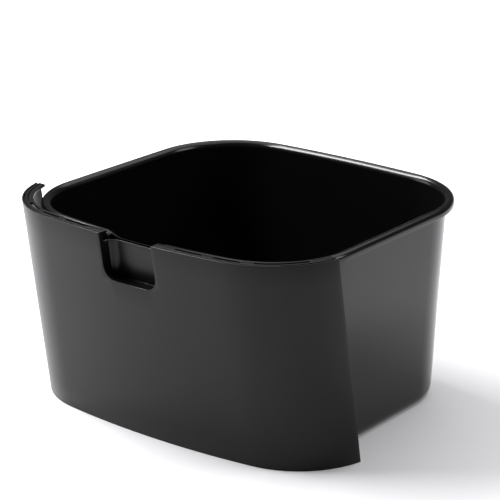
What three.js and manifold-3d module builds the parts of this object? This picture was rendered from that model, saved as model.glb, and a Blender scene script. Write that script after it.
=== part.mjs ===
// A waste tub with a bowed front panel: the lift-out container of a waste appliance.
// Millimetres. +Z is up, X runs across, and the panel faces -Y. The origin is on the floor, under the
// middle of the whole container.

import * as THREE from 'three';
import { mergeVertices } from 'three/addons/utils/BufferGeometryUtils.js';
import Module from 'manifold-3d';

// ---------------------------------------------------------------- driving dimensions

// The finger notch in the top edge of the panel. Much of the front is laid out from its width.
const notch = { width: 64.5, depth: 48, radius: 14 };
const notchHalf = notch.width / 2;

// The tub: a bowed rectangle at the rim, a smaller one at the base, and a ruled wall between them.
const rimHeight = 211;
const rimWidth = 360;           // across its front corners; its back is a little narrower
const rimPlan = {
  frontWidth: rimWidth, backWidth: rimWidth - 8, frontY: -156, backY: 155.5, frontBow: 23, backBow: 12,
  sideBow: 0.5, frontRadius: 89, backRadius: 96,
};
const taper = { side: 18.5, front: 35, back: 18.5 };  // how far inside the rim's outline the base lies
const basePlan = {
  frontWidth: rimPlan.frontWidth - 2 * taper.side, backWidth: rimPlan.backWidth - 2 * taper.side,
  frontY: rimPlan.frontY + taper.front, backY: rimPlan.backY - taper.back,
  frontBow: rimPlan.frontBow - 3, backBow: rimPlan.backBow - 1, sideBow: rimPlan.sideBow,
  frontRadius: rimPlan.frontRadius - 37, backRadius: rimPlan.backRadius - taper.back,
};
const wall = 3;
const flangeReach = 7.8;        // how far the flange stands out from the wall
const flangeThickness = 3.4;
const flangeRise = 5.5;         // height of the rounded outer side of the flange
const lipDrop = 8.5;            // from the top of the rim to the foot of the flange's lip
const lipThickness = 2.5;
const crestRadius = 6;          // roll from the inside of the wall over to the top of the flange
const baseRadius = 10;          // outer edge between the wall and the base

// The rim dips behind the finger notch, with a long ramp on the left and a short one on the right.
const dip = {
  depth: 5.3, leftTop: -notchHalf - 12, leftFoot: -notchHalf + 8.5, rightFoot: notchHalf - 4.5,
  rightTop: notchHalf + 0.5,
};
const dipFade = 30;             // height below the rim over which the dip dies out

// The front panel: a ruled skin between its top outline and its bottom outline, which lies further back.
const panelHeight = rimHeight + 4;
const overhang = { side: 12.75, front: 18 };          // of the panel's top outline past the rim's
const panelLean = 38.5;
const panelTopPlan = {
  frontWidth: rimPlan.frontWidth + 2 * overhang.side, backWidth: rimPlan.backWidth + 2 * overhang.side,
  frontY: rimPlan.frontY - overhang.front, backY: rimPlan.backY - 30,
  frontBow: rimPlan.frontBow - 1.5, backBow: 10, sideBow: 0.5,
  frontRadius: rimPlan.frontRadius + 6, backRadius: 90,
};
const panelBottomPlan = {
  ...panelTopPlan,
  frontWidth: panelTopPlan.frontWidth + 5, backWidth: panelTopPlan.backWidth + 5,
  frontY: panelTopPlan.frontY + panelLean, backY: panelTopPlan.backY + panelLean,
  frontBow: rimPlan.frontBow, frontRadius: rimPlan.frontRadius + 2,
};
const endTopY = rimPlan.frontY + 42.7;                // both rear ends are cut along a straight leaning line
const endBottomY = endTopY + 35.8;
const skin = 3.5;
const endLip = { thickness: 1.8, fromArc: 0.42 };

// The frame behind the skin.
const clearance = 0.3;          // between touching pieces
const sliver = 0.01;            // facets thinner than this are merged away after the cuts
const beyond = 5;               // how far a cutting shape reaches past what it cuts
const frameWall = 1.8;
const frameBottom = 5;
const ledge = { innerInset: 11.5, thickness: 2.8 };
const bottomLedgeThickness = 2;
const groove = { width: 1.3, depth: 2.2, fromArc: 0.37 };
const windowInset = { outer: 6.2, inner: 9.6 };
const frontWindow = [notchHalf + 23, notchHalf + 53.5];             // across the front, on both sides
// The other windows, as places on the panel's top outline.
const cornerWindows = [[-1.34, -1.15], [-1.08, -0.87], [0.9, 1.14], [1.24, 1.66]];
const rib = { thickness: 2.2, across: [frontWindow[0] - 6, frontWindow[1] + 5.5] };

// The pocket behind the notch: its back wall stands off the tub's wall and reaches up to the dipped rim.
const pocket = { wall: 1.8, floorDrop: 1.2, underRim: 1.2, offTub: 6, sideRadius: 9 };

// Snap hooks on the skin, one in each front window.
const hook = { width: 12, height: 7, reach: 3.6, belowTop: 9 };

// Screws that hold the frame to the tub, each on a pair of bosses.
const screwPlaces = [[-95, 60], [0, 60], [95, 60], [-95, 140], [0, 118], [95, 140]];
const screw = { shankRadius: 2, headRadius: 3.8, headHeight: 2.6, point: 2, shortOfTub: 2 };
const boss = { radius: 6, split: 0.5 };
const seatDepth = 1;            // how far the screws' seats lie behind the frame's wall

// ---------------------------------------------------------------- plans and their insets

// A plan is five arcs on its right half, from the middle of the front to the middle of the back, and the
// same mirrored on its left. A place on it is u: its whole part counts the arcs, its fraction is the way
// along that arc, and a negative u is on the left. An inset shrinks every arc about its own centre.
function makePlan(plan) {
  const { frontWidth, backWidth, frontY, backY, frontBow, backBow, sideBow, frontRadius, backRadius } = plan;
  const bowRadius = (chord, bow) => (chord * chord / 4 + bow * bow) / (2 * bow);
  const frontR = bowRadius(frontWidth, frontBow);
  const backR = bowRadius(backWidth, backBow);
  const frontCentre = new THREE.Vector2(0, frontY - frontBow + frontR);
  const backCentre = new THREE.Vector2(0, backY + backBow - backR);
  const cornerA = new THREE.Vector2(frontWidth / 2, frontY);
  const cornerB = new THREE.Vector2(backWidth / 2, backY);
  const side = cornerB.clone().sub(cornerA);
  const sideR = bowRadius(side.length(), sideBow);
  const outward = new THREE.Vector2(side.y, -side.x).normalize();
  const sideCentre = cornerA.clone().add(cornerB).multiplyScalar(0.5)
    .addScaledVector(outward, sideBow - sideR);
  const frontCorner = filletCentre(frontCentre, frontR, sideCentre, sideR, frontRadius);
  const backCorner = filletCentre(sideCentre, sideR, backCentre, backR, backRadius);
  const turn = [
    -Math.PI / 2,
    frontCorner.clone().sub(frontCentre).angle() - 2 * Math.PI,
    signedAngle(frontCorner.clone().sub(sideCentre)),
    signedAngle(backCorner.clone().sub(sideCentre)),
    backCorner.clone().sub(backCentre).angle(),
    Math.PI / 2,
  ];
  return [
    { centre: frontCentre, radius: frontR, from: turn[0], to: turn[1] },
    { centre: frontCorner, radius: frontRadius, from: turn[1], to: turn[2] },
    { centre: sideCentre, radius: sideR, from: turn[2], to: turn[3] },
    { centre: backCorner, radius: backRadius, from: turn[3], to: turn[4] },
    { centre: backCentre, radius: backR, from: turn[4], to: turn[5] },
  ];
}

function signedAngle(vector) {
  return Math.atan2(vector.y, vector.x);
}

// The centre of a fillet that touches two circles from inside, on the right of both centres.
function filletCentre(centreA, radiusA, centreB, radiusB, radius) {
  const a = radiusA - radius;
  const b = radiusB - radius;
  const between = centreB.clone().sub(centreA);
  const distance = between.length();
  const along = (distance * distance + a * a - b * b) / (2 * distance);
  const across = Math.sqrt(a * a - along * along);
  const unit = between.normalize();
  const foot = centreA.clone().addScaledVector(unit, along);
  const normal = new THREE.Vector2(-unit.y, unit.x);
  const first = foot.clone().addScaledVector(normal, across);
  const second = foot.clone().addScaledVector(normal, -across);
  return first.x > second.x ? first : second;
}

function planPoint(plan, u, inset) {
  const way = Math.abs(u);
  const index = Math.min(Math.floor(way), plan.length - 1);
  const arc = plan[index];
  const angle = THREE.MathUtils.lerp(arc.from, arc.to, way - index);
  const radius = arc.radius - inset;
  const x = arc.centre.x + radius * Math.cos(angle);
  return new THREE.Vector2(u < 0 ? -x : x, arc.centre.y + radius * Math.sin(angle));
}

// The place u on a plan's front arc that lies x across from the middle.
function placeAcross(plan, x) {
  const [arc] = plan;
  return Math.sign(x) * (Math.asin(Math.abs(x) / arc.radius)) / (arc.to - arc.from);
}

const rim = makePlan(rimPlan);
const base = makePlan(basePlan);
const panelTop = makePlan(panelTopPlan);
const panelBottom = makePlan(panelBottomPlan);

function steps(from, to, count) {
  return Array.from({ length: count }, (_, k) => from + (to - from) * k / count);
}

function ascending(values) {
  return [...new Set(values.map((value) => Math.round(value * 1e6) / 1e6))].sort((a, b) => a - b);
}

// ---------------------------------------------------------------- from geometry to solids and back

const wasm = await Module();
wasm.setup();

function signedVolume(positions, triangles) {
  const [a, b, c] = [new THREE.Vector3(), new THREE.Vector3(), new THREE.Vector3()];
  let sum = 0;
  for (let t = 0; t < triangles.length; t += 3) {
    a.fromArray(positions, 3 * triangles[t]);
    b.fromArray(positions, 3 * triangles[t + 1]);
    c.fromArray(positions, 3 * triangles[t + 2]);
    sum += a.dot(b.cross(c)) / 6;
  }
  return sum;
}

function toSolid(geometry) {
  const bare = geometry.clone();
  bare.deleteAttribute('normal');
  bare.deleteAttribute('uv');
  const merged = mergeVertices(bare, 1e-4);
  const positions = merged.attributes.position.array;
  const source = merged.index.array;
  const triangles = [];
  for (let t = 0; t < source.length; t += 3) {
    const [a, b, c] = [source[t], source[t + 1], source[t + 2]];
    if (a !== b && b !== c && c !== a) triangles.push(a, b, c);
  }
  // A bend can turn a shape inside out, so its faces are put back to point out.
  if (signedVolume(positions, triangles) < 0) triangles.reverse();
  return new wasm.Manifold(new wasm.Mesh({
    numProp: 3,
    vertProperties: new Float32Array(positions),
    triVerts: new Uint32Array(triangles),
  }));
}

function toGeometry(solid) {
  const mesh = solid.simplify(sliver).getMesh();
  const geometry = new THREE.BufferGeometry();
  geometry.setAttribute('position', new THREE.BufferAttribute(new Float32Array(mesh.vertProperties), 3));
  geometry.setIndex(new THREE.BufferAttribute(new Uint32Array(mesh.triVerts), 1));
  geometry.computeVertexNormals();
  return geometry;
}

function joined(solids) {
  return solids.reduce((whole, solid) => whole.add(solid));
}

function cut(solid, tools) {
  return tools.reduce((rest, tool) => rest.subtract(tool), solid);
}

// A closed shell of revolution with its rings laid round the tub's plans in place of circles. A profile
// point is [inset from the rim's outline, height]; the first and last points close it in the middle.
function tubShell(profile, knots) {
  const rings = [null, ...profile, null];
  const outline = rings.map((ring, j) => new THREE.Vector2(ring ? 1 : 0, j));
  const lathe = new THREE.LatheGeometry(outline, knots.length);
  const position = lathe.attributes.position;
  for (let v = 0; v < position.count; v += 1) {
    const ring = rings[v % rings.length];
    const u = knots[Math.floor(v / rings.length) % knots.length];
    const nearest = ring ?? (v % rings.length === 0 ? profile[0] : profile[profile.length - 1]);
    const point = ring ? tubPoint(u, ring[0], ring[1]) : new THREE.Vector3(0, 0, nearest[1]);
    position.setXYZ(v, point.x, point.y, point.z);
  }
  return toSolid(lathe);
}

// A box bent round the panel: it runs from place to place, between two insets and two heights.
function bentBox(places, outerInset, innerInset, low, high) {
  const box = new THREE.BoxGeometry(1, 1, 1, places.length - 1, 1, 1);
  const position = box.attributes.position;
  for (let v = 0; v < position.count; v += 1) {
    const u = places[Math.round((position.getX(v) + 0.5) * (places.length - 1))];
    const inset = position.getY(v) > 0 ? outerInset : innerInset;
    const point = panelPoint(u, inset, position.getZ(v) > 0 ? high : low);
    position.setXYZ(v, point.x, point.y, point.z);
  }
  return toSolid(box);
}

// A flat shape drawn in X and Z, standing across Y from front to back.
function standingPrism(shape, frontY, backY) {
  const prism = new THREE.ExtrudeGeometry(shape, {
    depth: backY - frontY, bevelEnabled: false, curveSegments: 8,
  });
  prism.rotateX(Math.PI / 2);
  prism.translate(0, backY, 0);
  return toSolid(prism);
}

function rodAlongY(radius, x, z, frontY, backY, sides = 24) {
  const rod = new THREE.CylinderGeometry(radius, radius, backY - frontY, sides);
  rod.translate(x, (frontY + backY) / 2, z);
  return toSolid(rod);
}

// ---------------------------------------------------------------- the tub

function smooth(t) {
  const s = THREE.MathUtils.clamp(t, 0, 1);
  return s * s * (3 - 2 * s);
}

function dipAt(u) {
  if (Math.abs(u) >= 1) return 0;
  const { x } = planPoint(rim, u, 0);
  const down = smooth((x - dip.leftTop) / (dip.leftFoot - dip.leftTop));
  const up = smooth((x - dip.rightFoot) / (dip.rightTop - dip.rightFoot));
  return dip.depth * (down - up);
}

function tubPoint(u, inset, z) {
  const height = z / rimHeight;
  const point = planPoint(base, u, inset - flangeReach).lerp(planPoint(rim, u, inset), height);
  const share = smooth((z - (rimHeight - dipFade)) / (dipFade - lipDrop));
  return new THREE.Vector3(point.x, point.y, z - dipAt(u) * share);
}

// Points of a quarter turn in a profile, from one direction to another.
function quarter(inset, z, radius, fromDegrees, toDegrees, count) {
  return Array.from({ length: count + 1 }, (_, k) => {
    const angle = THREE.MathUtils.degToRad(THREE.MathUtils.lerp(fromDegrees, toDegrees, k / count));
    return [inset + radius * Math.cos(angle), z + radius * Math.sin(angle)];
  });
}

const innerInset = flangeReach + wall;
const crestInset = innerInset - crestRadius;

function tubKnots() {
  const across = [0, 15, 60, 85, 105].flatMap((x) => [x, -x]);
  const ramp = steps(0, 1, 6);
  const leftRamp = ramp.map((t) => dip.leftTop + (dip.leftFoot - dip.leftTop) * t);
  const rightRamp = ramp.map((t) => dip.rightFoot + (dip.rightTop - dip.rightFoot) * t);
  const front = [...across, ...leftRamp, dip.leftFoot, ...rightRamp, dip.rightTop];
  const right = [...steps(1, 2, 9), ...steps(2, 3, 2), ...steps(3, 4, 9), ...steps(4, 5, 4)];
  return ascending([...front.map((x) => placeAcross(rim, x)), ...right, ...right.map((u) => -u), 5]);
}

// The flange is a quarter ellipse on the outside, from the crest to a short straight lip.
function outerProfile() {
  const under = rimHeight - flangeThickness;
  const shoulder = rimHeight - flangeRise;
  const roll = steps(90, 180, 6).map((degrees) => THREE.MathUtils.degToRad(degrees));
  return [
    ...roll.map((angle) => [crestInset * (1 + Math.cos(angle)), shoulder + flangeRise * Math.sin(angle)]),
    [0, shoulder],
    [0, rimHeight - lipDrop],
    [lipThickness, rimHeight - lipDrop],
    [lipThickness, shoulder],
    [lipThickness + 1.3, under],
    [flangeReach - 2, under],
    [flangeReach, under - 2],
    [flangeReach, rimHeight - dipFade],
    ...quarter(flangeReach + baseRadius, baseRadius, baseRadius, 180, 270, 5),
  ];
}

// The hollow carries on upward past the crest, so that it opens the top of the outer shell.
function hollowProfile() {
  const innerRadius = baseRadius - wall;
  const crest = quarter(crestInset, rimHeight - crestRadius, crestRadius, 90, 0, 5);
  return [
    [crestInset, rimHeight + beyond],
    ...crest,
    [innerInset, rimHeight - dipFade],
    ...quarter(innerInset + innerRadius, wall + innerRadius, innerRadius, 180, 270, 5),
  ];
}

// Where a front-to-back line at (x, z) meets the outside of the tub's front wall.
function tubFrontY(x, z) {
  const u = x === 0 ? 0 : placeAcross(rim, x);
  return tubPoint(u, flangeReach, z).y;
}

// Where such a line meets the inner face of the frame's wall.
function frameBackY(x, z) {
  const u = x === 0 ? 0 : placeAcross(panelTop, x);
  return panelPoint(u, frameInset + frameWall, z).y;
}

// The plane in which the tub's boss and the frame's boss meet.
function bossPlane(x, z) {
  return THREE.MathUtils.lerp(frameBackY(x, z), tubFrontY(x, z), boss.split);
}

function makeTub() {
  const knots = tubKnots();
  const hollow = tubShell(hollowProfile(), knots);
  const bosses = screwPlaces.map(([x, z]) => (
    rodAlongY(boss.radius, x, z, bossPlane(x, z) + clearance / 2, tubFrontY(x, z) + wall)
  ));
  const pilots = screwPlaces.map(([x, z]) => rodAlongY(
    screw.shankRadius + clearance, x, z, bossPlane(x, z) - 1, headSeat(x, z) + screwLength + clearance,
  ));
  // The flange is cut short where the pocket stands in front of it, with room for the pocket's lean.
  const half = notchHalf + pocket.wall + 2 * clearance;
  const relief = new THREE.Shape();
  relief.moveTo(-half, rimHeight - dipFade);
  relief.lineTo(half, rimHeight - dipFade);
  relief.lineTo(half, rimHeight + beyond);
  relief.lineTo(-half, rimHeight + beyond);
  const flangeCut = standingPrism(relief, pocketTopY - flangeReach, pocketTopY + pocket.wall + 3 * clearance);
  return cut(joined([tubShell(outerProfile(), knots), ...bosses]), [hollow, flangeCut, ...pilots]);
}

// ---------------------------------------------------------------- the panel's skin

const frameInset = skin + clearance;

function panelPoint(u, inset, z) {
  const point = planPoint(panelBottom, u, inset).lerp(planPoint(panelTop, u, inset), z / panelHeight);
  return new THREE.Vector3(point.x, point.y, z);
}

function panelKnots(from = -3, to = 3) {
  const across = [0, 35, 70, 95].map((x) => placeAcross(panelTop, x));
  const right = [...across, ...steps(1, 2, 10), ...steps(2, 3, 2), 3];
  const all = ascending([...right, ...right.map((u) => -u)]);
  return [from, ...all.filter((u) => u > from + 0.01 && u < to - 0.01), to];
}

function notchCut() {
  const low = panelHeight - notch.depth;
  const shape = new THREE.Shape();
  shape.moveTo(-notchHalf, panelHeight + beyond);
  shape.lineTo(-notchHalf, low + notch.radius);
  shape.absarc(-notchHalf + notch.radius, low + notch.radius, notch.radius, Math.PI, 1.5 * Math.PI);
  shape.absarc(notchHalf - notch.radius, low + notch.radius, notch.radius, 1.5 * Math.PI, 2 * Math.PI);
  shape.lineTo(notchHalf, panelHeight + beyond);
  return standingPrism(shape, panelPoint(0, 0, panelHeight).y - beyond, pocketTopY);
}

// Everything behind the leaning line at which the panel ends.
function endCut() {
  const lean = (endBottomY - endTopY) / panelHeight;
  const depth = 2 * panelTopPlan.frontWidth;
  const shape = new THREE.Shape();
  shape.moveTo(endBottomY + lean * beyond, -beyond);
  shape.lineTo(depth, -beyond);
  shape.lineTo(depth, panelHeight + beyond);
  shape.lineTo(endTopY - lean * beyond, panelHeight + beyond);
  const prism = new THREE.ExtrudeGeometry(shape, { depth, bevelEnabled: false });
  // The shape's own x runs along Y and its y along Z, and it is extruded along X.
  prism.applyMatrix4(new THREE.Matrix4().makeBasis(
    new THREE.Vector3(0, 1, 0), new THREE.Vector3(0, 0, 1), new THREE.Vector3(1, 0, 0),
  ));
  prism.translate(-depth / 2, 0, 0);
  return toSolid(prism);
}

function across(x, halfWidth) {
  return [placeAcross(panelTop, x - halfWidth), placeAcross(panelTop, x + halfWidth)];
}

const hookAcross = (frontWindow[0] + frontWindow[1]) / 2;
const hookPlaces = [hookAcross, -hookAcross];

function makeSkin() {
  const shell = bentBox(panelKnots(), 0, skin, 0, panelHeight);
  const hooks = hookPlaces.map((x) => bentBox(
    across(x, hook.width / 2), skin / 2, skin + hook.reach,
    panelHeight - hook.belowTop - hook.height, panelHeight - hook.belowTop,
  ));
  const slots = [[-3, -1 - endLip.fromArc], [1 + endLip.fromArc, 3]].map(([from, to]) => (
    bentBox(panelKnots(from, to), endLip.thickness, skin + 2, -beyond, panelHeight + beyond)
  ));
  return cut(joined([shell, ...hooks]), [notchCut(), endCut(), ...slots]);
}

// ---------------------------------------------------------------- the frame behind the skin

function makeFrame() {
  const back = frameInset + frameWall;
  const wallSheet = bentBox(panelKnots(), frameInset, back, frameBottom, panelHeight);
  const rooted = back - 0.5;    // ledges and ribs start inside the wall, so that they join it
  const ledgeLow = panelHeight - ledge.thickness;
  const topLedge = bentBox(panelKnots(), rooted, ledge.innerInset, ledgeLow, panelHeight);
  const bottomLedge = bentBox(
    panelKnots(), rooted, ledge.innerInset, frameBottom, frameBottom + bottomLedgeThickness,
  );
  const ribs = rib.across.flatMap((x) => [x, -x]).map((x) => bentBox(
    across(x, rib.thickness / 2), rooted, ledge.innerInset, frameBottom + 1, panelHeight - 1,
  ));
  const bosses = screwPlaces.map(([x, z]) => (
    rodAlongY(boss.radius, x, z, frameBackY(x, z) - boss.radius, bossPlane(x, z) - clearance / 2)
  ));
  const inFront = bentBox(panelKnots(), -4 * boss.radius, frameInset, -beyond, panelHeight + beyond);
  const frame = cut(joined([wallSheet, topLedge, bottomLedge, ...ribs, ...bosses]), [inFront]);

  const windowHeights = [ledgeLow - 1, panelHeight + beyond];
  const [nearPlace, farPlace] = frontWindow.map((x) => placeAcross(panelTop, x));
  const windows = [[nearPlace, farPlace], [-farPlace, -nearPlace], ...cornerWindows].map(([from, to]) => (
    bentBox(panelKnots(from, to), windowInset.outer, windowInset.inner, ...windowHeights)
  ));
  const hookSlots = hookPlaces.map((x) => bentBox(
    across(x, hook.width / 2 + 1), frameInset - 1, skin + hook.reach + 1,
    panelHeight - hook.belowTop - hook.height - 1, panelHeight - hook.belowTop + 1,
  ));
  const leftGroove = bentBox(
    panelKnots(-3, -1 - groove.fromArc), back + clearance / 2, back + clearance / 2 + groove.width,
    panelHeight - groove.depth, panelHeight + beyond,
  );
  const screwHoles = screwPlaces.flatMap(([x, z]) => {
    const start = frameBackY(x, z) - 3 * boss.radius;
    return [
      rodAlongY(screw.shankRadius + clearance, x, z, start, bossPlane(x, z) + 1),
      rodAlongY(screw.headRadius + clearance, x, z, start, headSeat(x, z) + clearance),
    ];
  });
  return cut(frame, [notchCut(), endCut(), ...windows, ...hookSlots, leftGroove, ...screwHoles]);
}

// ---------------------------------------------------------------- the finger pocket

const pocketFloor = panelHeight - notch.depth - pocket.floorDrop;
const pocketTop = rimHeight - dip.depth - pocket.underRim;
const pocketTopY = tubFrontY(0, pocketTop) - pocket.offTub;
const pocketFloorY = tubFrontY(0, pocketFloor) - pocket.offTub;

function makePocket() {
  const half = notchHalf + clearance;
  const lean = (pocketTopY - pocketFloorY) / (pocketTop - pocketFloor);
  const tray = (grow, low, high) => {
    const plan = new THREE.Shape();
    const radius = pocket.sideRadius + grow;
    const right = half + grow;
    plan.moveTo(-right, -2 * notchHalf);
    plan.lineTo(right, -2 * notchHalf);
    plan.lineTo(right, grow - radius);
    plan.absarc(right - radius, grow - radius, radius, 0, Math.PI / 2);
    plan.absarc(radius - right, grow - radius, radius, Math.PI / 2, Math.PI);
    const solid = new THREE.ExtrudeGeometry(plan, {
      depth: high - low, bevelEnabled: false, curveSegments: 6,
    });
    solid.translate(0, 0, low);
    // The back wall leans with the tub's wall behind it.
    solid.applyMatrix4(new THREE.Matrix4().makeShear(0, 0, 0, 0, 0, lean));
    solid.translate(0, pocketFloorY - lean * pocketFloor, 0);
    return toSolid(solid);
  };
  const clearOfFrame = frameInset + frameWall + clearance;
  const inFront = bentBox(panelKnots(-1, 1), -2 * notchHalf, clearOfFrame, 0, panelHeight + beyond);
  const outside = tray(pocket.wall, pocketFloor - pocket.wall, pocketTop);
  return cut(outside, [tray(0, pocketFloor, pocketTop + beyond), inFront]);
}

// ---------------------------------------------------------------- screws

// The plane that the underside of a screw's head rests against.
function headSeat(x, z) {
  return frameBackY(x, z) + seatDepth;
}

// All six screws are alike, and none reaches the tub's wall.
const screwLength = Math.min(...screwPlaces.map(([x, z]) => tubFrontY(x, z) - headSeat(x, z)))
  - screw.shortOfTub;

function makeScrew(x, z) {
  const { shankRadius, headRadius, headHeight, point } = screw;
  const profile = [
    [0, -headHeight], [headRadius * 0.7, -headHeight], [headRadius, -headHeight * 0.55], [headRadius, 0],
    [shankRadius, 0], [shankRadius, screwLength - point], [0, screwLength],
  ].map(([radius, along]) => new THREE.Vector2(radius, along));
  const body = new THREE.LatheGeometry(profile, 20);
  body.translate(x, headSeat(x, z), z);
  return toSolid(body);
}

// ---------------------------------------------------------------- the assembly

const blackSatin = { color: 0x151517, roughness: 0.35, metalness: 0 };
const zinc = { color: 0xb8bcc2, roughness: 0.35, metalness: 1 };

function named(name, solid, look) {
  const mesh = new THREE.Mesh(toGeometry(solid), new THREE.MeshStandardMaterial(look));
  mesh.name = name;
  return mesh;
}

const container = new THREE.Group();
container.add(
  named('tub', makeTub(), blackSatin),
  named('front_panel', makeSkin(), blackSatin),
  named('panel_frame', makeFrame(), blackSatin),
  named('grip_pocket', makePocket(), blackSatin),
  ...screwPlaces.map(([x, z], k) => named(`panel_screw_${k + 1}`, makeScrew(x, z), zinc)),
);

// The container is centred front to back on its whole length.
const frontMost = panelTopPlan.frontY - panelTopPlan.frontBow;
const rearMost = rimPlan.backY + rimPlan.backBow;
container.position.y = -(frontMost + rearMost) / 2;
container.updateMatrixWorld(true);

export default container;
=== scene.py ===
# %% [markdown]
# # A waste tub with a bowed front panel
# The tub lifts out of a kitchen waste appliance. It is a black plastic bucket with a rolled rim, and a thin
# front panel that leans forward and has a finger notch in its top edge. This lesson builds the finished
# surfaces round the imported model: same places, same sizes, but with real curves, soft edges and plastic that
# behaves like plastic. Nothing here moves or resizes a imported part.

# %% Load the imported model
import math

import bmesh
import bpy
from mathutils import Matrix, Vector


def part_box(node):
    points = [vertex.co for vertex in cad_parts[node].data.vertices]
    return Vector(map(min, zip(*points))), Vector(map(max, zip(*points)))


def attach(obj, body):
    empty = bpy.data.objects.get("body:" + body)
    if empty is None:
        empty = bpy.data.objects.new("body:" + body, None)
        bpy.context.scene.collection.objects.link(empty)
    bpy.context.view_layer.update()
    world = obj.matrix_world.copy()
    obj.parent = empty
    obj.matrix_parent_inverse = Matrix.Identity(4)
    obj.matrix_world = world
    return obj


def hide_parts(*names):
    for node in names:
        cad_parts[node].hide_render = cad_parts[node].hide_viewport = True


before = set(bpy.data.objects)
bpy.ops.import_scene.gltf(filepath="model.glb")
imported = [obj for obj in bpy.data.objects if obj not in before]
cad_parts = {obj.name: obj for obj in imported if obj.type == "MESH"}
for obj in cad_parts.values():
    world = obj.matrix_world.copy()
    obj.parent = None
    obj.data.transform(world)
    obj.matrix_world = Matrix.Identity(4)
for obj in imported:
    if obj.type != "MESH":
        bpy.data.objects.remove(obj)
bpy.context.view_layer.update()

MM = 0.001
print("packed nodes:", sorted(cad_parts))

# %% [markdown]
# ## The camera
# A product view is taken with a long lens from a little above the rim, so that the walls stay nearly
# straight. The camera is aimed at a point inside the tub.

# %% Camera
lens_mm, sensor_mm = 158.4, 36
aim = Vector((-0.0122, 0.0248, 0.1465))
azimuth, elevation, distance = math.radians(38.33), math.radians(19.02), 2.241
towards_camera = Vector((
    math.sin(azimuth) * math.cos(elevation),
    -math.cos(azimuth) * math.cos(elevation),
    math.sin(elevation),
))
camera = bpy.data.objects.new("camera", bpy.data.cameras.new("camera"))
camera.data.lens, camera.data.sensor_width = lens_mm, sensor_mm
camera.data.clip_start, camera.data.clip_end = 0.05, 50
camera.location = aim + towards_camera * distance
camera.rotation_mode = "QUATERNION"
camera.rotation_quaternion = (-towards_camera).to_track_quat("-Z", "Y")
bpy.context.scene.collection.objects.link(camera)
bpy.context.scene.camera = camera
print("camera at", [round(value, 3) for value in camera.location])

# %% [markdown]
# ## The studio
# Black plastic has almost no colour of its own, so what it shows is the room. The room here is a pale floor,
# a faint pale surround and four soft lights. A long, narrow strip high on the left draws the thin bright line
# along the back of the rim, a wide softbox overhead lights the floor, and two weak ones fill the sides.

# %% Floor and surround
def node_material(name):
    """A material with only a Principled shader, and its node tree."""
    material = bpy.data.materials.new(name)
    material.use_nodes = True
    tree = material.node_tree
    return material, tree, tree.nodes["Principled BSDF"]


floor_material, _, floor_shader = node_material("studio_floor")
floor_shader.inputs["Base Color"].default_value = (0.86, 0.86, 0.88, 1)
floor_shader.inputs["Roughness"].default_value = 0.55
floor_shader.inputs["Specular IOR Level"].default_value = 0.2

floor_mesh = bmesh.new()
bmesh.ops.create_circle(floor_mesh, cap_ends=True, segments=96, radius=8)
floor_data = bpy.data.meshes.new("floor")
floor_mesh.to_mesh(floor_data)
floor_mesh.free()
floor = bpy.data.objects.new("floor", floor_data)
floor.data.materials.append(floor_material)
bpy.context.scene.collection.objects.link(floor)

world = bpy.data.worlds.new("surround")
world.use_nodes = True
world.node_tree.nodes["Background"].inputs["Color"].default_value = (1, 1, 1, 1)
world.node_tree.nodes["Background"].inputs["Strength"].default_value = 0.1
bpy.context.scene.world = world
bpy.context.scene.view_settings.view_transform = "Standard"


# %% Soft lights
def soft_light(name, place, width, height, power):
    """A softbox that faces the tub. Its width is level."""
    data = bpy.data.lights.new(name, "AREA")
    data.shape, data.size, data.size_y, data.energy = "RECTANGLE", width, height, power
    light = bpy.data.objects.new(name, data)
    light.location = place
    light.rotation_mode = "QUATERNION"
    light.rotation_quaternion = (aim - Vector(place)).to_track_quat("-Z", "Y")
    bpy.context.scene.collection.objects.link(light)


soft_light("key_strip", (-1.2, -0.35, 1.8), 2.0, 0.36, 92)
soft_light("overhead_softbox", (-0.2, 1.1, 3.2), 4.0, 4.0, 95)
soft_light("left_softbox", (-1.8, -0.9, 0.9), 1.1, 1.1, 12)
soft_light("right_softbox", (1.7, 0.9, 1.2), 1.0, 1.0, 16)

# %% [markdown]
# ## Outlines made of arcs
# Seen from above, the rim, the base and the panel are all bowed rectangles: five arcs from the middle of the
# front to the middle of the back, mirrored to the other side. An outline is worked out from its widths, bows
# and corner radii. A place on it is one number: its whole part counts the arcs and its fraction is the way
# along that arc, and a negative number is on the left.


# %% The five-arc outline
def bow_radius(chord, bow):
    """Radius of the arc that stands `bow` proud of a chord."""
    return (chord * chord / 4 + bow * bow) / (2 * bow)


def fillet_centre(centre_a, radius_a, centre_b, radius_b, radius):
    """Centre of a circle that touches two others from inside, on the right."""
    reach_a, reach_b = radius_a - radius, radius_b - radius
    between = centre_b - centre_a
    gap = between.length
    along = (gap * gap + reach_a * reach_a - reach_b * reach_b) / (2 * gap)
    aside = math.sqrt(reach_a * reach_a - along * along)
    unit = between / gap
    foot = centre_a + unit * along
    turned = Vector((-unit.y, unit.x))
    return max(foot + turned * aside, foot - turned * aside, key=lambda point: point.x)


def direction(vector):
    """Angle of a plane vector, from -180 to 180 degrees, in radians."""
    return math.atan2(vector.y, vector.x)


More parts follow.
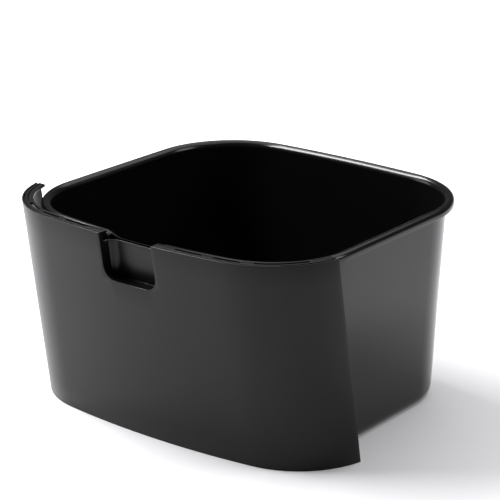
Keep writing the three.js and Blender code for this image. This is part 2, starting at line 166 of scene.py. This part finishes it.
def make_outline(front_width, back_width, front_y, back_y, front_bow, back_bow, front_radius, back_radius,
                 side_bow=0.5):
    """Five arcs (centre, radius, from, to) of the right half, front to back, in millimetres."""
    front_r, back_r = bow_radius(front_width, front_bow), bow_radius(back_width, back_bow)
    front_centre = Vector((0, front_y - front_bow + front_r))
    back_centre = Vector((0, back_y + back_bow - back_r))
    corner_a, corner_b = Vector((front_width / 2, front_y)), Vector((back_width / 2, back_y))
    side = corner_b - corner_a
    side_r = bow_radius(side.length, side_bow)
    outward = Vector((side.y, -side.x)).normalized()
    side_centre = (corner_a + corner_b) / 2 + outward * (side_bow - side_r)
    front_corner = fillet_centre(front_centre, front_r, side_centre, side_r, front_radius)
    back_corner = fillet_centre(side_centre, side_r, back_centre, back_r, back_radius)
    turns = [
        -math.pi / 2,
        direction(front_corner - front_centre),
        direction(front_corner - side_centre),
        direction(back_corner - side_centre),
        direction(back_corner - back_centre),
        math.pi / 2,
    ]
    circles = [
        (front_centre, front_r), (front_corner, front_radius), (side_centre, side_r),
        (back_corner, back_radius), (back_centre, back_r),
    ]
    return [(*circle, start, end) for circle, start, end in zip(circles, turns, turns[1:])]


def outline_point(outline, place, inset):
    """The point of an outline at a place, moved inwards by an inset, in millimetres."""
    way = abs(place)
    index = min(int(way), len(outline) - 1)
    centre, radius, start, end = outline[index]
    angle = start + (end - start) * (way - index)
    x = centre.x + (radius - inset) * math.cos(angle)
    return Vector((-x if place < 0 else x, centre.y + (radius - inset) * math.sin(angle)))


def place_across(outline, x):
    """The place on the front arc that lies x across from the middle."""
    _, radius, start, end = outline[0]
    return math.copysign(math.asin(abs(x) / radius) / (end - start), x)


middle_y = 14.0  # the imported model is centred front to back, this far behind the outlines' own zero
rim_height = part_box("tub")[1].z / MM
panel_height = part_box("front_panel")[1].z / MM
rim = make_outline(360, 352, -156, 155.5, 23, 12, 89, 96)
base = make_outline(323, 315, -121, 137, 20, 11, 52, 77.5)
panel_top = make_outline(385.5, 377.5, -174, 125.5, 21.5, 10, 95, 90)
panel_bottom = make_outline(390.5, 382.5, -135.5, 164, 23, 10, 91, 90)
print("rim height and panel height, mm:", round(rim_height, 1), round(panel_height, 1))

# %% [markdown]
# ## Two plastics
# The tub and the panel are both black, and their colour is nearly nothing, so the finish does the work. The
# tub is the smoother of the two, which keeps the line along its rim thin and bright; the panel is more satin.
# Both have a very fine spark-eroded grain, and a slow unevenness in the gloss that every large moulding has.
# The grain is a bump on Object coordinates, so it has its size in real millimetres.


# %% Satin black plastic
def satin_plastic(name, colour, shine, roughness, grain_mm, grain_depth_mm, clouding):
    """Moulded black plastic: fine grain in the bump, slow clouds in the gloss and the colour.

    `roughness` varies by `clouding` either way.
    """
    material, tree, shader = node_material(name)
    nodes, links = tree.nodes, tree.links
    where = nodes.new("ShaderNodeTexCoord")

    clouds = nodes.new("ShaderNodeTexNoise")
    clouds.inputs["Scale"].default_value = 14
    clouds.inputs["Detail"].default_value = 3
    links.new(where.outputs["Object"], clouds.inputs["Vector"])
    gloss = nodes.new("ShaderNodeMapRange")
    gloss.inputs["To Min"].default_value = roughness - clouding
    gloss.inputs["To Max"].default_value = roughness + clouding
    links.new(clouds.outputs["Fac"], gloss.inputs["Value"])
    links.new(gloss.outputs["Result"], shader.inputs["Roughness"])

    tint = nodes.new("ShaderNodeMix")
    tint.data_type = "RGBA"
    tint.inputs["A"].default_value = (*[channel * 0.85 for channel in colour], 1)
    tint.inputs["B"].default_value = (*[channel * 1.15 for channel in colour], 1)
    links.new(clouds.outputs["Fac"], tint.inputs["Factor"])
    links.new(tint.outputs["Result"], shader.inputs["Base Color"])

    grain = nodes.new("ShaderNodeTexNoise")
    grain.inputs["Scale"].default_value = 1 / (grain_mm * MM)
    grain.inputs["Detail"].default_value = 2
    links.new(where.outputs["Object"], grain.inputs["Vector"])
    bump = nodes.new("ShaderNodeBump")
    bump.inputs["Strength"].default_value = 0.5
    bump.inputs["Distance"].default_value = grain_depth_mm * MM
    links.new(grain.outputs["Fac"], bump.inputs["Height"])
    links.new(bump.outputs["Normal"], shader.inputs["Normal"])

    shader.inputs["Specular IOR Level"].default_value = shine
    return material


tub_plastic = satin_plastic("tub_plastic", (0.0028, 0.0027, 0.003), 0.27, 0.19, 0.5, 0.02, 0.03)
panel_plastic = satin_plastic("panel_plastic", (0.003, 0.0029, 0.0029), 0.2, 0.33, 0.4, 0.03, 0.03)
print("plastics:", tub_plastic.name, panel_plastic.name)


# %% Zinc for the screws
def plated_steel(name):
    """Bright zinc with a fine noise in its roughness."""
    material, tree, shader = node_material(name)
    nodes, links = tree.nodes, tree.links
    where = nodes.new("ShaderNodeTexCoord")
    marks = nodes.new("ShaderNodeTexNoise")
    marks.inputs["Scale"].default_value = 900
    links.new(where.outputs["Object"], marks.inputs["Vector"])
    gloss = nodes.new("ShaderNodeMapRange")
    gloss.inputs["To Min"].default_value = 0.25
    gloss.inputs["To Max"].default_value = 0.45
    links.new(marks.outputs["Fac"], gloss.inputs["Value"])
    links.new(gloss.outputs["Result"], shader.inputs["Roughness"])
    shader.inputs["Base Color"].default_value = (0.62, 0.64, 0.66, 1)
    shader.inputs["Metallic"].default_value = 1
    return material


zinc = plated_steel("zinc_steel")


# %% [markdown]
# ## From a bmesh to a finished piece
# Every piece ends the same way: doubled vertices are merged, normals are made to point outwards, faces are
# smooth except across sharp edges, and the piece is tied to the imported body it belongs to. The helper prints
# the piece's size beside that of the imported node, because they must agree.


# %% Finish a piece
def finish_piece(name, mesh, material, node, sharp_degrees=40):
    """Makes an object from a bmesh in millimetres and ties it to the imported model."""
    bmesh.ops.remove_doubles(mesh, verts=mesh.verts[:], dist=0.001)
    bmesh.ops.transform(mesh, matrix=Matrix.Scale(MM, 4), verts=mesh.verts[:])
    bmesh.ops.recalc_face_normals(mesh, faces=mesh.faces[:])
    open_edges = sum(1 for edge in mesh.edges if not edge.is_manifold)
    for face in mesh.faces:
        face.smooth = True
    for edge in mesh.edges:
        edge.smooth = not (edge.is_manifold and edge.calc_face_angle(0) > math.radians(sharp_degrees))
    data = bpy.data.meshes.new(name)
    mesh.to_mesh(data)
    mesh.free()
    piece = bpy.data.objects.new(name, data)
    piece.data.materials.append(material)
    bpy.context.scene.collection.objects.link(piece)
    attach(piece, "root")
    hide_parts(node)
    low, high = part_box(node)
    spans = [[v.co[k] for v in data.vertices] for k in range(3)]
    ours = [(max(values) - min(values)) / MM for values in spans]
    print(name, "faces", len(data.polygons), "open edges", open_edges,
          "size", [round(v, 1) for v in ours], "packed", [round(v / MM, 1) for v in high - low])


def smooth_step(t):
    """0 to 1 with level ends."""
    t = min(max(t, 0), 1)
    return t * t * (3 - 2 * t)


def spread(start, end, count):
    """`count` even steps from start to end, both included."""
    return [start + (end - start) * k / count for k in range(count + 1)]


def quarter_turn(inset, z, radius, start_degrees, end_degrees, count):
    """Points [inset, height] of an arc in a wall's profile."""
    angles = [math.radians(value) for value in spread(start_degrees, end_degrees, count)]
    return [(inset + radius * math.cos(a), z + radius * math.sin(a)) for a in angles]


# %% [markdown]
# ## The tub
# The real tub is one injection moulding: a drafted wall of even thickness that rolls over at the top into a
# flange with a turned-down lip. It could be a box with bevels and a Solidify, but the flange, the lip and the
# soft dip behind the finger notch are all one changing profile. So a ring of vertices is laid on the outline
# and extruded again and again along the wall's profile, from the middle of the outside, over the rim, and
# down to the middle of the inside. The tub isn't finished here, because it still gets bosses for the screws.

# %% Tub sizes
wall = 3
flange_reach, flange_thickness, flange_rise = 7.8, 3.4, 5.5
lip_drop, lip_thickness = 8.5, 2.5
crest_radius, base_radius = 6, 10
crest_inset = flange_reach + wall - crest_radius
relief_half, relief_y = 34.65, -173.6   # the flange is cut short behind the finger pocket
dip_depth, dip_fade = 5.3, 30
dip_left_top, dip_left_foot, dip_right_foot, dip_right_top = -44.25, -23.75, 27.75, 32.75


def dip_at(place):
    """How far the rim drops at a place, behind the finger notch."""
    if abs(place) >= 1:
        return 0
    x = outline_point(rim, place, 0).x
    down = smooth_step((x - dip_left_top) / (dip_left_foot - dip_left_top))
    up = smooth_step((x - dip_right_foot) / (dip_right_top - dip_right_foot))
    return dip_depth * (down - up)


def tub_point(place, inset, z):
    """A point of the tub: the wall runs straight from the base's outline to the rim's."""
    low, high = outline_point(base, place, inset - flange_reach), outline_point(rim, place, inset)
    point = low.lerp(high, z / rim_height)
    share = smooth_step((z - (rim_height - dip_fade)) / (dip_fade - lip_drop))
    return Vector((point.x, point.y + middle_y, z - dip_at(place) * share))


def tub_places():
    """Places round the rim, closer together where the rim dips and where the flange is cut."""
    xs = spread(-118, 118, 40)
    xs += spread(dip_left_top, dip_left_foot, 10) + spread(dip_right_foot, dip_right_top, 6)
    xs += [side * (relief_half + step) for side in (-1, 1) for step in (0, 0.3)]
    front = [place_across(rim, x) for x in xs] + [side * 1.0 for side in (-1, 1)]
    right = spread(1, 2, 22) + spread(2, 3, 8) + spread(3, 4, 22) + spread(4, 5, 18)
    return sorted({round(place, 6) for place in front + right + [-place for place in right[:-1]]})


def rim_profile(reach, drop):
    """Flange from under its root, round the lip and over the top to the crest, as [inset, height].

    The outer side is a quarter ellipse. A flange that is cut short keeps its thickness and loses its lip.
    """
    under, outer = rim_height - flange_thickness, flange_reach - reach
    half_width, foot = crest_inset - outer, rim_height - drop
    rise = min(flange_rise, drop - 0.9)
    ellipse = [(crest_inset + half_width * math.cos(math.radians(a)),
                rim_height - rise + rise * math.sin(math.radians(a))) for a in spread(180, 90, 14)]
    root = [(flange_reach, under - 3), (flange_reach - 0.15, under - 2), (flange_reach - 0.6, under - 1.1),
            (flange_reach - 1.3, under - 0.4), (flange_reach - 2.2, under)]
    inner = outer + lip_thickness
    lip = [(inner + 1.3, under), (inner + 0.4, under - 0.5 * (drop - flange_thickness) / 2),
           (inner, foot + 0.9), *quarter_turn(inner - 0.7, foot + 0.7, 0.7, 0, -90, 3),
           *quarter_turn(outer + 0.8, foot + 0.8, 0.8, -90, -180, 3)]
    return root + lip + ellipse[:-1]


outer_wall = [
    (flange_reach + base_radius + 3, 0),
    *quarter_turn(flange_reach + base_radius, base_radius, base_radius, 270, 180, 10),
    *[(flange_reach, z) for z in spread(base_radius + 2, rim_height - dip_fade, 12)],
    *[(flange_reach, z) for z in spread(rim_height - dip_fade + 4, rim_height - 8.5, 7)],
]
inner_radius = base_radius - wall
inner_wall = [
    *quarter_turn(crest_inset, rim_height - crest_radius, crest_radius, 90, 0, 14),
    *[(flange_reach + wall, z) for z in spread(rim_height - crest_radius - 1.5, rim_height - dip_fade, 7)],
    *[(flange_reach + wall, z) for z in spread(rim_height - dip_fade - 10, wall + inner_radius + 2, 12)],
    *quarter_turn(flange_reach + wall + inner_radius, wall + inner_radius, inner_radius, 180, 270, 8),
    (flange_reach + wall + inner_radius + 3, wall),
]
level_count = len(outer_wall) + len(rim_profile(flange_reach, lip_drop)) + len(inner_wall)
print("profile rings:", level_count)


# %% Extrude the ring along the profile
def tub_ring(places, level):
    """Where the ring's vertices stand at one level of the profile."""
    full = rim_profile(flange_reach, lip_drop)
    points = []
    for place in places:
        if level < len(outer_wall):
            inset, z = outer_wall[level]
        elif level < len(outer_wall) + len(full):
            rim_part = full
            if abs(place) < 1 and abs(outline_point(rim, place, 0).x) < relief_half + 0.1:
                reach = outline_point(rim, place, flange_reach).y - relief_y
                rim_part = rim_profile(reach, flange_thickness + 1.2)
            inset, z = rim_part[level - len(outer_wall)]
        else:
            inset, z = inner_wall[level - len(outer_wall) - len(full)]
        points.append(tub_point(place, inset, z))
    return points


tub_mesh = bmesh.new()
places = tub_places()
ring = bmesh.ops.create_circle(tub_mesh, segments=len(places), radius=1)["verts"]
edges = tub_mesh.edges[:]
for vertex, point in zip(ring, tub_ring(places, 0)):
    vertex.co = point
bmesh.ops.contextual_create(tub_mesh, geom=edges)
for level in range(1, level_count):
    grown = bmesh.ops.extrude_edge_only(tub_mesh, edges=edges)["geom"]
    edges = [item for item in grown if isinstance(item, bmesh.types.BMEdge)]
    tub_mesh.verts.ensure_lookup_table()
    ring = [v for v in grown if isinstance(v, bmesh.types.BMVert)]
    for vertex, point in zip(ring, tub_ring(places, level)):
        vertex.co = point
bmesh.ops.contextual_create(tub_mesh, geom=edges)
print("tub faces before its bosses:", len(tub_mesh.faces))


# %% [markdown]
# ## The panel's pieces are made flat and then bent
# The skin and its frame are thin bent plates. Cutting windows, grooves and a finger notch into a bent plate
# is awkward, and into a flat one it is easy. So each is built flat: across is the distance along the panel's
# top edge, depth is the inset behind the outer face, and up is the height. Then it is sliced and bent.

# %% The bend
panel_end_top, panel_end_bottom = -113.3, -77.5
arc_lengths = [radius * (end - start) for _, radius, start, end in panel_top]


def place_along(across):
    """The place that lies a distance along the panel's top outline from its middle."""
    rest = abs(across)
    for index, length in enumerate(arc_lengths):
        if rest <= length:
            return math.copysign(index + rest / length, across)
        rest -= length
    return math.copysign(len(arc_lengths), across)


def along_place(place):
    """The distance along the panel's top outline at which a place lies."""
    whole = int(abs(place))
    length = sum(arc_lengths[:whole]) + arc_lengths[whole] * (abs(place) - whole)
    return math.copysign(length, place)


def panel_point(place, inset, z):
    """A point of the panel: it is ruled between its bottom outline and its top outline."""
    low, high = outline_point(panel_bottom, place, inset), outline_point(panel_top, place, inset)
    point = low.lerp(high, z / panel_height)
    return Vector((point.x, point.y + middle_y, z))


end_places = {}


def end_place(inset, z):
    """The place at which the leaning rear cut meets the panel, found by halving."""
    key = (round(inset, 3), round(z, 3))
    if key not in end_places:
        cut_y = panel_end_bottom + (panel_end_top - panel_end_bottom) * z / panel_height + middle_y
        low, high = 1.0, 3.0
        for _ in range(30):
            middle = (low + high) / 2
            low, high = (middle, high) if panel_point(middle, inset, z).y < cut_y else (low, middle)
        end_places[key] = low
    return end_places[key]


corner_start = along_place(1)
flat_end = along_place(end_place(5.7, panel_height))


def bend(mesh):
    """Bends a flat piece (across, inset, height) into the panel's shape."""
    for vertex in mesh.verts:
        across, inset, z = vertex.co
        place = place_along(across)
        if abs(place) > 1:
            share = (abs(across) - corner_start) / (flat_end - corner_start)
            place = math.copysign(place_along(corner_start + share * (
                along_place(end_place(inset, z)) - corner_start)), across)
        vertex.co = panel_point(place, inset, z)


print("flat half width of the panel, mm:", round(flat_end, 1))


# %% Flat plates
def flat_shape(mesh, corners, lift, across_axis=0, up_axis=2):
    """A flat face with the given corners, and its vertices. `lift` places it on the third axis."""
    ring = bmesh.ops.create_circle(mesh, cap_ends=True, segments=len(corners), radius=1)["verts"]
    for vertex, (across, up) in zip(ring, corners):
        place = [lift] * 3
        place[across_axis], place[up_axis] = across, up
        vertex.co = place
    return ring


def thicken(mesh, faces, shift):
    """Extrudes faces by a shift. Faces of a closed shape leave no copy behind inside it."""
    region = set(faces)
    attached = any(other not in region for face in faces for edge in face.edges for other in edge.link_faces)
    grown = bmesh.ops.extrude_face_region(mesh, geom=faces)["geom"]
    moved = [item for item in grown if isinstance(item, bmesh.types.BMVert)]
    bmesh.ops.translate(mesh, verts=moved, vec=shift)
    if attached:
        bmesh.ops.delete(mesh, geom=faces, context="FACES")
    return [item for item in grown if isinstance(item, bmesh.types.BMFace)]


def soften(mesh, width, segments=3, verts=None):
    """Rounds every sharp edge, or only those between the given vertices."""
    bmesh.ops.recalc_face_normals(mesh, faces=mesh.faces[:])
    mesh.normal_update()
    chosen = [edge for edge in mesh.edges if edge.is_manifold and edge.calc_face_angle(0) > math.radians(40)]
    if verts is not None:
        chosen = [edge for edge in chosen if all(vertex in verts for vertex in edge.verts)]
    bmesh.ops.bevel(mesh, geom=chosen, offset=width, offset_type="OFFSET", segments=segments, profile=0.5,
                    affect="EDGES", clamp_overlap=True, material=-1)


def slice_at(mesh, axis, values):
    """Cuts a mesh with planes across one axis, so that it can bend there."""
    normal = Vector([1.0 if k == axis else 0.0 for k in range(3)])
    for value in values:
        bmesh.ops.bisect_plane(mesh, geom=mesh.verts[:] + mesh.edges[:] + mesh.faces[:], dist=1e-4,
                               plane_co=normal * value, plane_no=normal)


def open_window(mesh, through, spans):
    """Opens a rectangular window right through a plate. `spans` gives its two ranges by axis."""
    for axis, span in spans.items():
        slice_at(mesh, axis, span)
    mesh.normal_update()
    inside = [
        face for face in mesh.faces
        if abs(face.normal[through]) > 0.9
        and all(low < face.calc_center_median()[axis] < high for axis, (low, high) in spans.items())
    ]
    bmesh.ops.delete(mesh, geom=inside, context="FACES")
    bmesh.ops.bridge_loops(mesh, edges=[edge for edge in mesh.edges if edge.is_boundary])


def bending_lines():
    """Where a plate is sliced across, closer together round the corners."""
    middle = [(k - 12) * corner_start / 12 for k in range(25)]
    corner = spread(corner_start, flat_end, 22)[1:-1]
    return middle + corner + [-value for value in corner]


# %% [markdown]
# ## The skin
# The finger notch is part of the flat outline, with its two lower corners rounded by a vertex bevel. Past the
# corners the skin thins to a lip, which leaves a slot between the lip and the frame.

# %% Skin
notch_half, notch_depth, notch_radius = 32.25, 48, 14
skin, lip_skin, lip_place = 3.5, 1.8, 1.42
clearance = 0.3  # between pieces that fit together
hook_across, hook_width, hook_height, hook_reach, hook_drop = 70.5, 12, 7, 3.6, 9


def notched_outline(end, bottom, top):
    """Corners of a plate with the finger notch in its top edge."""
    low = panel_height - notch_depth
    return [(-end, bottom), (end, bottom), (end, top), (notch_half, top), (notch_half, low),
            (-notch_half, low), (-notch_half, top), (-end, top)]


def notched_plate(mesh, end, bottom, top, inset, thickness):
    """A flat plate with the notch's lower corners rounded."""
    corners = flat_shape(mesh, notched_outline(end, bottom, top), inset)
    bmesh.ops.bevel(mesh, geom=[corners[4], corners[5]], offset=notch_radius, offset_type="OFFSET",
                    segments=14, profile=0.5, affect="VERTICES", clamp_overlap=True, material=-1)
    thicken(mesh, mesh.faces[:], (0, thickness, 0))


skin_mesh = bmesh.new()
lip_start = along_place(lip_place)
notched_plate(skin_mesh, flat_end, 0, panel_height, 0, lip_skin)
slice_at(skin_mesh, 0, [-lip_start, lip_start])
skin_mesh.normal_update()
thick_part = [
    face for face in skin_mesh.faces
    if abs(face.calc_center_median().y - lip_skin) < 0.01 and abs(face.calc_center_median().x) < lip_start
]
thicken(skin_mesh, thick_part, (0, skin - lip_skin, 0))
soften(skin_mesh, 0.6)
for side in (-1, 1):
    x = side * hook_across
    top = panel_height - hook_drop
    left, right, low = x - hook_width / 2, x + hook_width / 2, top - hook_height
    block = flat_shape(skin_mesh, [(left, low), (right, low), (right, top), (left, top)], skin / 2)
    ends = thicken(skin_mesh, list({face for vertex in block for face in vertex.link_faces}),
                   (0, skin / 2 + hook_reach, 0))
    soften(skin_mesh, 0.8, verts={vertex for face in ends for vertex in face.verts})
slice_at(skin_mesh, 0, bending_lines())
slice_at(skin_mesh, 2, spread(0, panel_height, 9)[1:-1])
bend(skin_mesh)
finish_piece("panel_skin", skin_mesh, panel_plastic, "front_panel")

# %% [markdown]
# ## The frame
# A second plate stands just behind the skin. It carries a ledge along its top with dark windows, a ledge
# along its bottom, four ribs, and six round bosses for the screws. The parts overlap inside one piece, and
# the differences of a few hundredths of a millimetre keep their faces from lying in one plane. The ledge is
# left out where the finger notch passes.

# %% Frame wall and ledges
frame_thickness = 1.8
frame_front, frame_back = skin + clearance, skin + clearance + frame_thickness
frame_bottom, frame_top = 5, panel_height - 1.5
ledge_inset, ledge_thickness = 11.5, 2.8
rib_half, hook_room = 1.1, 1
window_insets = (6.2, 9.6)
front_window = (55.25, 85.75)
corner_windows = ((-1.34, -1.15), (-1.08, -0.87), (0.9, 1.14), (1.24, 1.66))
groove_insets, groove_depth, groove_place = (5.75, 7.05), 2.2, -1.37
screw_places = ((-95, 60), (0, 60), (95, 60), (-95, 140), (0, 118), (95, 140))
shank_radius, screw_head_radius, boss_radius, seat_depth = 2, 3.8, 6, 1
pilot_radius, head_hole = shank_radius + clearance, screw_head_radius + clearance


def along_x(x):
    """Distance along the top outline at which the front lies x across."""
    return along_place(place_across(panel_top, x))


def ledge_plate(mesh, start, end, bottom, top, inner=ledge_inset):
    """A flat ledge between two distances along the panel and two heights."""
    before = set(mesh.faces)
    flat_shape(mesh, [(start, frame_front), (end, frame_front), (end, inner), (start, inner)], bottom, 0, 1)
    thicken(mesh, [face for face in mesh.faces if face not in before], (0, 0, top - bottom))


def add_mesh(target, source):
    """Moves one bmesh into another."""
    data = bpy.data.meshes.new("passing")
    source.to_mesh(data)
    source.free()
    target.from_mesh(data)
    bpy.data.meshes.remove(data)


frame_wall = bmesh.new()
notched_plate(frame_wall, flat_end - 0.02, frame_bottom, frame_top, frame_front + 0.05,
              frame_back - frame_front - 0.05)
for side in (-1, 1):
    x, half, top = side * hook_across, hook_width / 2 + hook_room, panel_height - hook_drop
    open_window(frame_wall, 1, {0: (x - half, x + half), 2: (top - hook_height - hook_room, top + hook_room)})
for x, z in screw_places:
    across = along_x(x) if x else 0
    open_window(frame_wall, 1, {axis: (middle - head_hole, middle + head_hole)
                                for axis, middle in ((0, across), (2, z))})

frame_mesh = bmesh.new()
for start, end in ((-flat_end, -notch_half), (notch_half, flat_end)):
    ledge_mesh = bmesh.new()
    ledge_plate(ledge_mesh, start, end, panel_height - ledge_thickness, panel_height)
    windows = [(along_x(front_window[0]), along_x(front_window[1]))]
    windows = windows if start > 0 else [(-high, -low) for low, high in windows]
    windows += [(along_place(low), along_place(high)) for low, high in corner_windows
                if (low > 0) == (start > 0)]
    for window in windows:
        open_window(ledge_mesh, 2, {0: window, 1: window_insets})
    if start < 0:
        groove_span = (-flat_end + 0.5, along_place(groove_place))
        slice_at(ledge_mesh, 0, groove_span)
        slice_at(ledge_mesh, 1, groove_insets)
        ledge_mesh.normal_update()
        groove = [face for face in ledge_mesh.faces if face.normal.z > 0.9
                  and groove_insets[0] < face.calc_center_median().y < groove_insets[1]
                  and groove_span[0] < face.calc_center_median().x < groove_span[1]]
        thicken(ledge_mesh, groove, (0, 0, -groove_depth))
    soften(ledge_mesh, 0.3, 2)
    add_mesh(frame_mesh, ledge_mesh)
add_mesh(frame_mesh, frame_wall)
ledge_plate(frame_mesh, -flat_end + 0.05, flat_end - 0.05, frame_bottom + 0.03, frame_bottom + 2,
            ledge_inset - 0.05)
for x in (front_window[0] - 6, front_window[1] + 5.5):
    for side in (-1, 1):
        across = side * along_x(x)
        ledge_plate(frame_mesh, across - rib_half, across + rib_half, frame_bottom + 1, frame_top,
                    ledge_inset - 0.1)
slice_at(frame_mesh, 0, bending_lines())
slice_at(frame_mesh, 2, spread(0, panel_height, 9)[1:-1])
bend(frame_mesh)
print("frame faces before its bosses:", len(frame_mesh.faces))


# %% [markdown]
# ## Round bosses and screws
# Each screw pulls a tubular boss of the frame against a blind boss on the tub. They are turned shapes: a
# profile is spun once round the screw's axis, which runs front to back. With their bosses on, the tub and the
# frame are finished.

# %% Turned shapes
def turned(mesh, profile, x, y, z, segments=40, closed=False):
    """Spins a profile of (radius, along) points round a front-to-back axis."""
    points = list(profile) + ([profile[0]] if closed else [])
    edges = []
    previous = bmesh.ops.create_vert(mesh, co=(points[0][0] + x, points[0][1] + y, z))["vert"][0]
    for radius, along in points[1:]:
        grown = bmesh.ops.extrude_vert_indiv(mesh, verts=[previous])
        vertex, edge = grown["verts"][0], grown["edges"][0]
        vertex.co = (radius + x, along + y, z)
        edges.append(edge)
        previous = vertex
    geometry = edges + list({vertex for edge in edges for vertex in edge.verts})
    bmesh.ops.spin(mesh, geom=geometry, cent=(x, y, z), axis=(0, 1, 0), angle=math.tau, steps=segments,
                   use_merge=True)


def frame_back_y(x, z):
    """Inner face of the frame's wall on a front-to-back line."""
    return panel_point(place_across(panel_top, x) if x else 0, frame_back, z).y


def tub_front_y(x, z):
    """Outer face of the tub's front wall on a front-to-back line."""
    return tub_point(place_across(rim, x) if x else 0, flange_reach, z).y


def boss_plane(x, z):
    """Where the two bosses meet, half way between frame and tub."""
    return (frame_back_y(x, z) + tub_front_y(x, z)) / 2


short_of_tub, boss_edge = 2, 0.4
shortest_gap = min(tub_front_y(x, z) - frame_back_y(x, z) for x, z in screw_places)
screw_length = shortest_gap - seat_depth - short_of_tub
for x, z in screw_places:
    front, seat = frame_back_y(x, z) - 1.2, frame_back_y(x, z) + seat_depth
    end = boss_plane(x, z) - clearance / 2
    turned(frame_mesh, [
        (head_hole, front), (head_hole, seat + clearance), (pilot_radius, seat + clearance),
        (pilot_radius, end), (boss_radius - boss_edge, end), (boss_radius, end - boss_edge),
        (boss_radius, front),
    ], x, 0, z, closed=True)
    boss_start, pilot_end = boss_plane(x, z) + clearance / 2, seat + screw_length + clearance
    root = tub_front_y(x, z) + wall / 2
    turned(tub_mesh, [
        (0, pilot_end), (pilot_radius, pilot_end), (pilot_radius, boss_start),
        (boss_radius - boss_edge, boss_start), (boss_radius, boss_start + boss_edge), (boss_radius, root),
        (0, root),
    ], x, 0, z)
finish_piece("tub_moulding", tub_mesh, tub_plastic, "tub")
finish_piece("panel_carrier", frame_mesh, panel_plastic, "panel_frame")

# %% Screws
thread_depth, half_pitch, thread_start, plain_length = 0.25, 0.45, 1.2, 3.4
thread = [(shank_radius - thread_depth * (k % 2), thread_start + k * half_pitch)
          for k in range(int((screw_length - plain_length) / half_pitch))]
head = [(0, -1.7), (0.9, -1.7), (1.1, -2.5), (2.9, -2.35), (3.5, -1.9), (screw_head_radius, -1.2),
        (screw_head_radius, -0.1), (screw_head_radius - 0.1, 0), (shank_radius, 0)]
point = [(1.9, screw_length - 2), (0.3, screw_length - 0.1), (0, screw_length)]
profile = head + thread + point
for number, (x, z) in enumerate(screw_places, 1):
    screw_mesh = bmesh.new()
    turned(screw_mesh, profile, x, frame_back_y(x, z) + seat_depth, z, 32)
    finish_piece(f"panel_screw_{number}_turned", screw_mesh, zinc, f"panel_screw_{number}")

# %% [markdown]
# ## The finger pocket
# A small tray closes the space behind the notch. It starts as a solid block with rounded back corners; its
# top is inset and pushed down to make the hollow, its front is sliced away, and then it leans with the tub's
# wall.

# %% Pocket
pocket_wall, pocket_round, pocket_drop, pocket_gap = 1.8, 9, 1.2, 6
block_reach, tray_reach, back_depth = 50, 30, 4  # before and after slicing; the last stays unstretched
pocket_floor, pocket_top = panel_height - notch_depth - pocket_drop, rim_height - dip_depth - pocket_drop
pocket_floor_y = tub_front_y(0, pocket_floor) - pocket_gap
pocket_top_y = tub_front_y(0, pocket_top) - pocket_gap
pocket_half = notch_half + clearance + pocket_wall
pocket_mesh = bmesh.new()
plan = flat_shape(pocket_mesh, [(-pocket_half, -block_reach), (pocket_half, -block_reach),
                                (pocket_half, pocket_wall), (-pocket_half, pocket_wall)],
                  pocket_floor - pocket_wall, 0, 1)
bmesh.ops.bevel(pocket_mesh, geom=[plan[2], plan[3]], offset=pocket_round + pocket_wall, offset_type="OFFSET",
                segments=10, profile=0.5, affect="VERTICES", clamp_overlap=True, material=-1)
thicken(pocket_mesh, pocket_mesh.faces[:], (0, 0, pocket_top - pocket_floor + pocket_wall))
bmesh.ops.recalc_face_normals(pocket_mesh, faces=pocket_mesh.faces[:])
pocket_mesh.normal_update()
top_face = [face for face in pocket_mesh.faces if face.calc_center_median().z > pocket_top - 0.01]
bmesh.ops.inset_region(pocket_mesh, faces=top_face, thickness=pocket_wall, use_even_offset=True)
thicken(pocket_mesh, top_face, (0, 0, pocket_floor - pocket_top))
bmesh.ops.bisect_plane(
    pocket_mesh, geom=pocket_mesh.verts[:] + pocket_mesh.edges[:] + pocket_mesh.faces[:], dist=1e-4,
    plane_co=(0, -tray_reach, 0), plane_no=(0, -1, 0), clear_outer=True)
bmesh.ops.contextual_create(pocket_mesh, geom=[edge for edge in pocket_mesh.edges if edge.is_boundary])
soften(pocket_mesh, 0.4)
slice_at(pocket_mesh, 0, spread(-pocket_half, pocket_half, 16)[1:-1])
slice_at(pocket_mesh, 2, spread(pocket_floor, pocket_top, 8)[1:-1])
slice_at(pocket_mesh, 1, spread(2 - tray_reach, -back_depth, 4))
lean = (pocket_top_y - pocket_floor_y) / (pocket_top - pocket_floor)
for vertex in pocket_mesh.verts:
    x, y, z = vertex.co
    back = pocket_floor_y + lean * (z - pocket_floor)
    front = panel_point(place_across(panel_top, x) if x else 0, frame_back + clearance, z).y
    if y > -back_depth:
        vertex.co.y = back + y
    else:
        stretch = (back - back_depth - front) / (tray_reach - back_depth)
        vertex.co.y = back - back_depth + (y + back_depth) * stretch
finish_piece("finger_pocket", pocket_mesh, panel_plastic, "grip_pocket")
